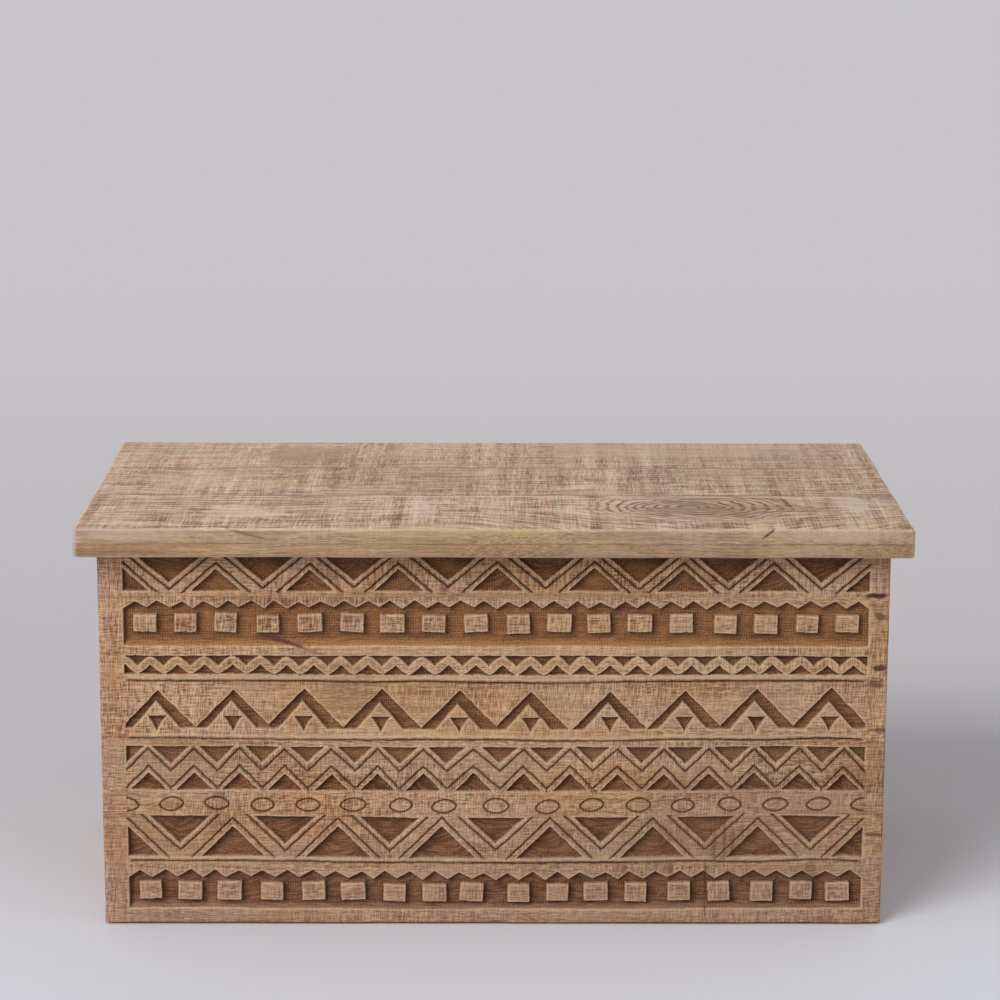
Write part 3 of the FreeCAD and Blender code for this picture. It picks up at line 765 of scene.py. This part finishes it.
def use(recipe, tree, **inputs):
    """A group placed in a material, with its own values."""
    return recipe.node("ShaderNodeGroup", inputs, node_tree=tree).outputs


def stained(r, colour, here, origin, spots):
    """A colour with soft spots on it, placed from an origin; some lean."""
    for centre, size, tint, strength, *lean in spots:
        middle = [(start + way) * MM for start, way in zip(origin, centre)]
        spot = use(r, SMUDGE, Place=here, Centre=middle, Size=[s * MM for s in size], Lean=sum(lean))["Mask"]
        colour = r.mix(r.times(spot, strength), colour, rgb(*tint))
    return colour


def new_material(name):
    """An empty material with its shader, as (material, recipe, shader)."""
    material = bpy.data.materials.new(name)
    material.use_nodes = True
    shader = material.node_tree.nodes["Principled BSDF"]
    return material, Recipe(material.node_tree), shader


def finish_surface(r, shader, colour, height, rough, distance):
    """Colour, roughness and fine relief on the shader."""
    relief = r.node("ShaderNodeBump", {"Strength": 1, "Distance": distance, "Height": height}).outputs[0]
    r.tree.links.new(colour, shader.inputs["Base Color"])
    r.tree.links.new(relief, shader.inputs["Normal"])
    shader.inputs["Roughness"].default_value = rough
    shader.inputs["Specular IOR Level"].default_value = SHEEN


def rgb(red, green, blue):
    """A colour as it looks on screen, from 0 to 255, made linear."""
    share = np.array([red, green, blue]) / 255
    linear = np.where(share <= 0.04045, share / 12.92, ((share + 0.055) / 1.055) ** 2.4)
    return (*linear.tolist(), 1)


def plain_timber(name, pale, deep, saw):
    """Walls and inner pieces: sawn timber with darker end grain and worn arrises."""
    material, r, shader = new_material(name)
    wood = use(r, WOOD, Place=r.board_place(), Pale=pale, Deep=deep, Wash=PINKISH, Warm=YELLOWISH,
               Grain=1, Fibre=0.42, Lines=0.22, Weave=0.42, Ribs=0.4, Saw=saw)
    colour = r.mix(r.times(r.mask("end_grain"), 0.35), wood["Color"], BOARD_END)
    colour = r.mix(r.times(r.mask("wear"), 0.35), colour, BOARD_WORN)
    finish_surface(r, shader, colour, wood["Height"], 0.8, RELIEF)
    return material


def carved_timber():
    """The front: sawn timber, stained and stippled on the sunk floors, dark in cut lines, pale on rims, with
    painted shade in the cuts and under the lid and painted light falling off to the right.
    """
    material, r, shader = new_material("carved_front")
    here = r.here()
    wood = use(r, WOOD, Place=r.board_place(), Pale=FRONT_PALE, Deep=FRONT_DEEP, Wash=PINKISH,
               Warm=YELLOWISH, Grain=0.95, Fibre=0.48, Lines=0.26, Weave=0.48, Ribs=0.45, Saw=1)
    x, _, z = r.split(here)
    stain = r.noise(here, (20, 20, 34), 3)
    sunk = r.mix(r.between(stain, 0.36, 0.62), FLOOR_TAN, FLOOR_BROWN)
    bright_band = r.times(r.between(z, 0.312, 0.318), r.between(z, 0.362, 0.350))
    sunk = r.mix(r.times(bright_band, 0.55), sunk, FLOOR_BRIGHT)
    purple = r.between(r.noise(here, (14, 14, 40)), 0.56, 0.7)
    sunk = r.mix(r.times(purple, 0.6), sunk, FLOOR_PURPLE)
    scallop = r.sum("ABSOLUTE", r.sum("SINE", r.sum("MULTIPLY_ADD", x, TOOL_ARC, r.times(stain, 3))))
    to_rows = r.sum("PINGPONG", r.sum("SUBTRACT", z, 0.135), 0.16)
    bowed = r.times(scallop, r.between(to_rows, 0.08, 0.1, 2.6, 0.4))
    combed = r.crisp(r.joined(x, 0, r.sum("MULTIPLY_ADD", bowed, 0.0045, z)), (45, 0, 300))
    rows = r.joined(r.times(x, 380), r.sum("MULTIPLY_ADD", z, 330, bowed), 0)
    dots = r.node("ShaderNodeTexVoronoi", {"Vector": rows, "Scale": 1, "Randomness": 0.35},
                  voronoi_dimensions="2D").outputs["Distance"]
    tooled = r.between(r.noise(here, (30, 30, 45)), 0.4, 0.6, 0.5, 1)
    pits = r.times(r.fade(dots, 0.1, 0.36), tooled)
    sunk = r.mix(r.between(z, 0.06, 0.2, 0.6, 0), sunk, FLOOR_LOW)
    ridge = r.mix(r.between(z, 0.08, 0.24), RIDGE_LOW, RIDGE_HIGH)
    sunk = r.mix(r.between(combed, -0.5, 0.5, 0, 0.55), r.scaled(sunk, 0.86), ridge)
    light_row = r.times(r.between(z, 0.176, 0.184), r.between(z, 0.21, 0.25, 0.4, 0.12))
    sunk = r.mix(light_row, sunk, FLOOR_LIGHT)
    sunk = r.mix(r.times(pits, 0.6), sunk, PIT)
    amber = r.mix(r.between(z, 0.1, 0.3), LEDGE_LOW, LEDGE_HIGH)
    amber = r.scaled(amber, r.sum("MULTIPLY_ADD", pits, -0.4, 1.05))
    sunk = r.mix(r.times(r.mask("ledge"), 0.7), sunk, amber)
    # Painted shadow of the lid: the floors of the top row are darker
    sunk = r.scaled(sunk, r.between(z, 0.386, 0.412, 1, 0.72))
    # Painted shade on the floors under the upper and left walls of the cuts
    sunk = r.mix(r.times(r.mask("corner"), 0.92), sunk, PAINTED_SHADE_BROWN)
    floor = r.mask("floor")
    plain = r.mix(r.between(z, 0, 0.15, 0.25, 0), wood["Color"], FOOT_GREY)
    colour = r.mix(r.times(floor, 0.96), plain, sunk)
    colour = r.mix(r.times(r.mask("cut"), r.between(z, 0.21, 0.36, 0.82, 0.95)), colour, CUT_LINE)
    colour = r.mix(r.times(r.mask("rim"), 0.6), colour, RIM)
    colour = stained(r, colour, here, FRONT_ORIGIN, FRONT_STAINS)
    # Painted light falling off from left to right, painted shade of the lid along the top strip, and darker
    # towards the bottom
    colour = r.scaled(colour, r.times(r.between(x, -0.35, 0.45, 1.04, 0.9), r.between(z, 0, 0.3, 0.93, 1),
                                     r.between(z, 0.35, 0.378, 1, 0.94)))
    height = r.sum("SUBTRACT", wood["Height"], r.times(pits, floor, 1.2))
    finish_surface(r, shader, colour, height, 0.82, RELIEF)
    return material


def lid_timber():
    """The lid: sawn planks with cross bands, grimy seams, stains and a browner front edge.

    The grain parts round an eye in the front plank: distances from its middle line shrink near the eye.
    The underside is calmer and has no stains.
    """
    material, r, shader = new_material("lid_planks")
    here = r.here()
    x, y, z = r.split(here)
    from_seams = [r.sum("SUBTRACT", y, line * MM) for line in LID_SEAMS]
    front_plank = r.fade(from_seams[0], -0.0005, 0.0005)
    under = r.fade(z, (LID_UNDER + 1.5) * MM, (LID_UNDER + 3.5) * MM)
    beside = r.sum("ABSOLUTE", r.sum("SUBTRACT", x, EYE[0] * MM))
    bulge = r.times(r.between(beside, 0.02, 0.26, 1.7, 0), front_plank)
    away = r.sum("SUBTRACT", y, EYE[1] * MM)
    parted = r.sum("SUBTRACT", r.sum("DIVIDE", away, r.sum("ADD", bulge, 1)), away)
    place = r.vector("ADD", r.board_place(), r.joined(0, parted, 0))
    place = r.vector("MULTIPLY", place, (1, 0.5, 1))
    edge = r.fade(y, (LID_FRONT + 1.5) * MM, (LID_FRONT + 3.5) * MM)
    off = r.vector("DIVIDE", r.vector("SUBTRACT", here, [c * MM for c in EYE]), [s * MM for s in EYE_SIZE])
    length = r.node("ShaderNodeVectorMath", {0: off}, operation="LENGTH").outputs["Value"]
    length = r.sum("MULTIPLY_ADD", r.unrest(here, (14, 26, 26), 3), 0.65, length)
    rings = r.between(r.sum("SINE", r.times(length, EYE_RINGS)), 0, 0.95)
    rings = r.times(rings, r.noise(here, (30, 80, 80)))
    inside = r.times(r.fade(length, 0.7, 1.7), front_plank, r.less(under, 0.7))
    saw = r.times(r.less(edge, 0.8), r.less(inside, 0.8))
    fibre = r.sum("MULTIPLY_ADD", inside, -0.1, 0.2)
    grain = r.sum("MULTIPLY_ADD", edge, 0.1, 0.5)
    lines = r.times(r.between(y, -0.1, 0.15, 0.56, 0.3), r.less(edge, 0.5), r.less(under, 0.6))
    wood = use(r, WOOD, Place=place, Pale=LID_PALE, Deep=LID_DEEP, Wash=ROSY, Warm=STRAW,
               Grain=grain, Fibre=fibre, Lines=lines, Weave=0.34, Ribs=1.05, Saw=saw)
    colour = r.mix(r.times(inside, 0.3), wood["Color"], EYE_BROWN)
    colour = r.mix(r.times(rings, inside, 1.6), colour, EYE_RING)
    up = r.sum("MULTIPLY_ADD", r.unrest(here, (9, 9, 9)), 0.006, z)
    low = r.fade(up, (GLUE_LINE - 1) * MM, (GLUE_LINE + 1) * MM)
    colour = r.mix(edge, colour, r.mix(low, EDGE_TINT, EDGE_LOW_TINT), "MULTIPLY")
    glue = r.fade(r.sum("ABSOLUTE", r.sum("SUBTRACT", z, GLUE_LINE * MM)), 0.0002, 0.0012)
    glue = r.times(glue, edge, r.noise(here, (25, 25, 25)))
    colour = r.scaled(colour, r.less(glue, 0.6))
    for offset in from_seams:
        grime = r.fade(r.sum("ABSOLUTE", offset), 0.001, 0.0036)
        grime = r.times(grime, r.noise(here, (14, 2, 2)))
        colour = r.scaled(colour, r.less(grime, 0.75))
    worn = r.fade(r.sum("ABSOLUTE", r.sum("ADD", from_seams[0], 0.006)), 0.0015, 0.004)
    worn = r.times(worn, r.between(r.noise(here, (22, 2, 2)), 0.45, 0.6, 0, 0.5))
    colour = r.mix(worn, colour, LID_WORN)
    colour = r.mix(r.times(r.mask("end_grain"), 0.3), colour, LID_END)
    colour = r.mix(r.times(r.mask("wear"), 0.45), colour, LID_WORN)
    colour = r.mix(under, stained(r, colour, here, LID_ORIGIN, LID_STAINS), colour)
    # Painted light falling off from left to right
    colour = r.scaled(colour, r.between(x, -0.4, 0.45, 1.06, 0.9))
    finish_surface(r, shader, colour, wood["Height"], 0.8, RELIEF)
    return material


def dull_metal(name, colour, dark, metallic, rough):
    """Hinges and screws: metal clouded by handling."""
    material, r, shader = new_material(name)
    cloud = r.noise(r.here(), (180, 180, 180), 4, 0.6)
    tint = r.mix(r.between(cloud, 0.4, 0.65), colour, dark)
    finish_surface(r, shader, tint, cloud, rough, FINE_RELIEF)
    shader.inputs["Metallic"].default_value = metallic
    return material


def moulded_plastic(name, colour, dark):
    """Floor glides: matt plastic with a fine grain."""
    material, r, shader = new_material(name)
    grain = r.noise(r.here(), (900, 900, 900))
    finish_surface(r, shader, r.mix(grain, colour, dark), grain, 0.6, FINE_RELIEF)
    return material


# Tints laid over the timber
PINKISH = (0.98, 0.9, 0.92, 1.0)
ROSY = (0.95, 0.86, 0.87, 1.0)
YELLOWISH = (1.0, 0.94, 0.8, 1.0)
STRAW = (1.0, 0.96, 0.86, 1.0)
EDGE_TINT = (0.89, 0.82, 0.71, 1.0)
EDGE_LOW_TINT = (0.83, 0.71, 0.58, 1.0)

# Colours of the front
FRONT_PALE = rgb(205, 170, 135)
FRONT_DEEP = rgb(115, 75, 50)
FOOT_GREY = rgb(172, 136, 120)
FLOOR_TAN = rgb(138, 87, 48)
FLOOR_BROWN = rgb(104, 61, 34)
FLOOR_BRIGHT = rgb(154, 104, 60)
FLOOR_PURPLE = rgb(106, 60, 44)
FLOOR_LOW = rgb(122, 79, 54)
FLOOR_LIGHT = rgb(158, 118, 84)
RIDGE_LOW = rgb(156, 111, 80)
RIDGE_HIGH = rgb(160, 109, 65)
LEDGE_LOW = rgb(160, 124, 98)
LEDGE_HIGH = rgb(176, 128, 78)
PIT = rgb(58, 30, 10)
# Colour of the painted shade under the upper and left walls of the cuts
PAINTED_SHADE_BROWN = rgb(45, 20, 6)
CUT_LINE = rgb(64, 32, 15)
RIM = rgb(214, 182, 148)

# Colours of the lid and the other boards
LID_PALE = rgb(214, 192, 169)
LID_DEEP = rgb(126, 95, 73)
LID_WORN = rgb(222, 203, 180)
LID_END = rgb(128, 96, 70)
EYE_BROWN = rgb(168, 140, 118)
EYE_RING = rgb(102, 72, 54)
BOARD_END = rgb(112, 78, 52)
BOARD_WORN = rgb(190, 158, 126)

# Marks on the timber: way from the origin and half sizes in millimetres, colour, strength and any lean
TOOL_ARC = 55.0
GLUE_LINE = 433.5
EYE = (215.0, LID_FRONT + 102, SEAT)
EYE_SIZE = (92.0, 55.0, 60.0)
EYE_RINGS = 45.0
FRONT_ORIGIN = (0.0, FRONT_Y, 0.0)
LID_ORIGIN = (0.0, LID_FRONT, SEAT)
FRONT_STAINS = (
    ((410, 0, 372), (15, 12, 3.4), (66, 36, 32), 1.0),
    ((413, 0, 349), (10, 12, 7), (104, 76, 50), 0.85, 0.2),
    ((414, 0, 292), (10, 12, 4.5), (84, 52, 38), 0.95),
    ((411, 0, 274), (12, 12, 6), (106, 68, 56), 0.75, 0.2),
    ((-155, 0, 262), (42, 14, 34), (138, 103, 76), 0.45),
    ((-222, 0, 319), (38, 12, 3.2), (92, 50, 50), 0.85, 0.27),
    ((-236, 0, 323), (26, 12, 4.5), (112, 64, 56), 0.5, 0.1),
    ((-196, 0, 310), (30, 12, 2.2), (112, 72, 62), 0.7, 0.33),
    ((231, 0, 41), (1.8, 12, 42), (78, 50, 36), 0.8),
    ((251, 0, 98), (28, 12, 36), (124, 88, 64), 0.42),
    ((240, 0, 90), (3.5, 12, 24), (104, 70, 50), 0.65),
    ((251, 0, 102), (2.5, 12, 30), (98, 66, 48), 0.65),
    ((260, 0, 96), (3.5, 12, 18), (104, 70, 50), 0.6),
    ((270, 0, 112), (3, 12, 15), (110, 76, 54), 0.45),
    ((270, 0, 120), (190, 14, 62), (146, 104, 84), 0.22),
    # Painted highlight: a pale band along the top of the strip under the second row
    ((0, 0, 310), (460, 14, 5), (200, 168, 132), 0.35),
    # Painted shade of the lid: a darker band along the strip under the top row
    ((0, 0, 371), (460, 14, 6), (136, 102, 76), 0.3),
    ((193, 0, 66), (4, 12, 9), (104, 70, 50), 0.6),
    ((177, 0, 66), (3, 12, 9), (110, 76, 54), 0.5),
    ((416, 0, 222), (9, 12, 4), (92, 62, 46), 0.75),
    ((412, 0, 104), (13, 12, 3.5), (86, 58, 44), 0.8),
    ((345, 0, 62), (10, 14, 22), (128, 92, 56), 0.5),
    ((-410, 0, 268), (10, 14, 30), (176, 122, 82), 0.4),
    ((-405, 0, 60), (12, 14, 40), (164, 116, 84), 0.4),
)
LID_STAINS = (
    ((-226, 365, 0), (80, 75, 12), (152, 116, 102), 0.55),
    ((200, 395, 0), (260, 60, 12), (200, 180, 158), 0.4),
    ((-330, 225, 0), (120, 60, 12), (206, 184, 160), 0.3),
    ((321, 120, 0), (6.5, 17, 400), (92, 62, 48), 0.75, 4.4),
    ((-271, 78, 0), (55, 36, 12), (210, 193, 174), 0.5),
    ((-76, 85, 0), (16, 70, 12), (212, 194, 176), 0.45),
    ((394, 114, 0), (28, 44, 12), (208, 190, 172), 0.5),
    ((421, 100, 0), (2.5, 60, 12), (216, 198, 178), 0.55),
    ((58, 73, 0), (16, 12, 10), (138, 108, 88), 0.4),
    ((226, 98, 0), (74, 34, 12), (134, 106, 86), 0.5),
    ((342, 80, 0), (48, 3, 10), (112, 82, 62), 0.7),
    ((-437, 384, 0), (10, 3, 10), (104, 76, 58), 0.7),
    ((289, 0, -5.5), (9, 10, 2.4), (76, 44, 30), 0.95, -0.7),
    ((-262, 0, -6), (34, 10, 2.4), (108, 82, 62), 0.75, 0.25),
    ((38, 0, -4), (40, 10, 5), (190, 160, 104), 0.5),
    ((290, 0, -24), (38, 10, 6), (178, 148, 94), 0.5),
    ((-60, 0, -4), (120, 10, 5), (186, 156, 110), 0.4),
    ((-385, 0, -7), (75, 10, 8), (188, 162, 144), 0.6),
    ((-250, 0, -9), (45, 10, 8), (148, 116, 86), 0.4),
    ((145, 0, -8), (100, 10, 9), (148, 118, 96), 0.4),
    ((370, 0, -7), (95, 10, 9), (194, 172, 152), 0.6),
    ((-400, 0, -26), (70, 10, 10), (124, 88, 62), 0.45),
    ((115, 0, -25), (55, 10, 9), (180, 152, 130), 0.4),
    ((335, 0, -24), (60, 10, 9), (188, 164, 138), 0.45),
)

WOOD = sawn_wood()
SMUDGE = smudge()
MATERIALS = {
    "carved_front": carved_timber(),
    "sawn_case": plain_timber("sawn_case", rgb(202, 169, 134), rgb(114, 76, 50), 1.0),
    "inner_timber": plain_timber("inner_timber", rgb(206, 174, 142), rgb(126, 88, 62), 0.4),
    "lid_planks": lid_timber(),
    "hinge_iron": dull_metal("hinge_iron", rgb(52, 48, 44), rgb(30, 27, 25), 0.7, 0.5),
    "screw_steel": dull_metal("screw_steel", rgb(158, 152, 144), rgb(110, 104, 96), 1.0, 0.4),
    "glide_plastic": moulded_plastic("glide_plastic", rgb(46, 43, 41), rgb(32, 30, 29)),
}


def cad_finishes():
    """Hinges, pins, screws and glides keep their CAD shapes and take their finishes."""
    for part in frame["record"]["subparts"]:
        if part["material_slot"] in ("hinge_iron", "screw_steel", "glide_plastic"):
            piece = frame["nodes"][part["node"]]
            piece.data.materials.clear()
            piece.data.materials.append(MATERIALS[part["material_slot"]])


# Stage
FLOOR_REACH = 60.0
PAINTED_LIGHT_NEAR = rgb(211, 213, 219)
PAINTED_SHADE_BEHIND = rgb(189, 187, 190)
STUDIO_FAR = rgb(199, 197, 200)
SENSOR = 36.0
CAMERA_PLACE = (-17.53, -3110.82, 1159.98)
CAMERA_TURNS = ((-0.4524, "Z"), (90 - 11.1756, "X"), (0.2114, "Z"))
LENS = 101.594
LIFT = -0.1
KEY_FROM = (-0.57, -0.57, 0.59)
KEY_STRENGTH = 1.98
KEY_ANGLE = 32.0
SKY = (0.635, 0.632, 0.639, 1.0)


def studio_floor():
    """A wide pale floor: painted light in front of the chest, painted shade behind it and lighter again far
    off.
    """
    mesh = bpy.data.meshes.new("studio_floor")
    far = FLOOR_REACH
    mesh.from_pydata([(-far, -far, 0), (far, -far, 0), (far, far, 0), (-far, far, 0)], [], [(0, 1, 2, 3)])
    floor = set_out("studio_floor", mesh)
    material, r, shader = new_material("studio_floor")
    y = r.split(r.here())[1]
    # Painted light in front of the chest and painted shade behind it
    colour = r.mix(r.between(y, -0.35, 0.35), PAINTED_LIGHT_NEAR, PAINTED_SHADE_BEHIND)
    colour = r.mix(r.between(y, 1.0, 4.5), colour, STUDIO_FAR)
    r.tree.links.new(colour, shader.inputs["Base Color"])
    shader.inputs["Roughness"].default_value = 0.95
    shader.inputs["Specular IOR Level"].default_value = 0.0
    mesh.materials.append(material)


def lights():
    """A soft key light from the front left and an even sky."""
    key = bpy.data.lights.new("key", "SUN")
    key.energy = KEY_STRENGTH
    key.angle = radians(KEY_ANGLE)
    lamp = set_out("key", key)
    lamp.matrix_world = Vector(KEY_FROM).to_track_quat("Z", "Y").to_matrix().to_4x4()
    world = bpy.data.worlds.new("studio")
    world.use_nodes = True
    world.node_tree.nodes["Background"].inputs["Color"].default_value = SKY
    bpy.context.scene.world = world
    bpy.context.scene.view_settings.view_transform = "Standard"


def camera():
    """The photograph's view: a long lens, slightly turned, looking down at the chest."""
    data = bpy.data.cameras.new("camera")
    data.sensor_width = SENSOR
    data.lens = LENS
    data.shift_y = LIFT
    data.clip_end = 3 * FLOOR_REACH
    made = set_out("camera", data)
    made.matrix_world = Matrix.Translation([way * MM for way in CAMERA_PLACE])
    for angle, axis in CAMERA_TURNS:
        made.matrix_world @= Matrix.Rotation(radians(angle), 4, axis)
    bpy.context.scene.camera = made


carved_staves()
case_boards()
lid_pieces()
cad_finishes()
studio_floor()
lights()
camera()
